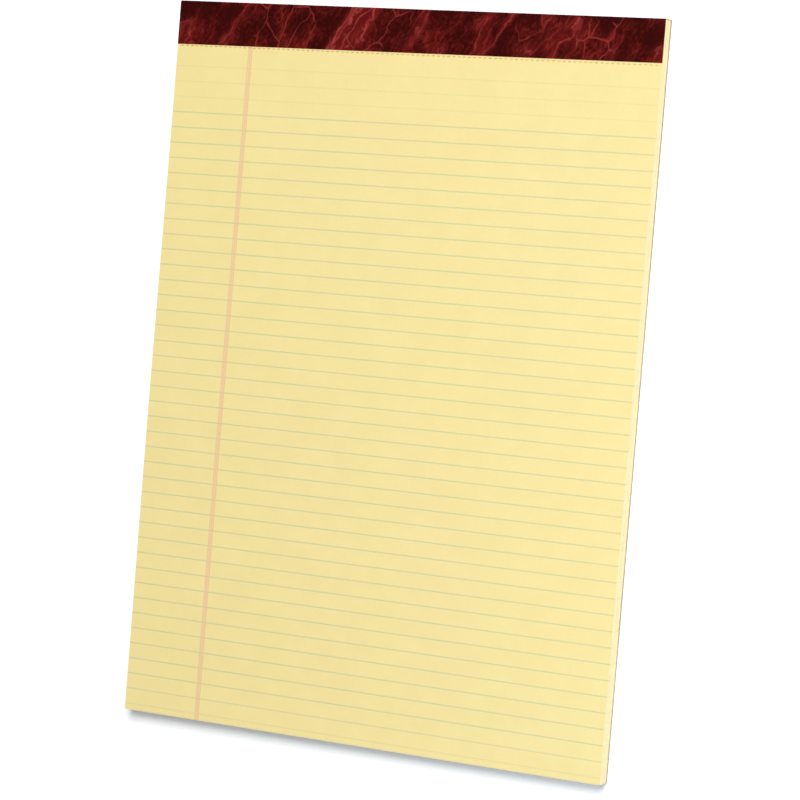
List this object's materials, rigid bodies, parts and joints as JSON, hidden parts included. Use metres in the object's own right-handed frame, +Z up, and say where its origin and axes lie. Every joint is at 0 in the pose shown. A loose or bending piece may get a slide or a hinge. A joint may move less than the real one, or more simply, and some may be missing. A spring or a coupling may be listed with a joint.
{
  "type": "writing pad",
  "caption": "Flat top-bound writing pad: ruled, perforated tear-off sheets on a chipboard back, wire-stitched at the head under a folded marbled paper strip.",
  "frame": {"origin": "middle of the pad's footprint, at the level of its lowest face, the back of the binding strip", "axes": "+Y along the sheets towards the bound head, +Z up out of the front sheet, +X to the reader's right"},
  "size_m": [0.216, 0.2986, 0.0079],
  "materials": {
    "yellow_paper": "matte, uncoated, canary yellow with pale blue-green rules",
    "chipboard": "matte, grey-brown recycled board",
    "marbled_paper": "satin, dark red marbled",
    "stitching_wire": "bright flat wire"
  },
  "bodies": {
    "root": {"ruled_sheets": "yellow_paper", "backing_board": "chipboard", "binding_strip": "marbled_paper", "staples": "stitching_wire"}
  },
  "joints": []
}
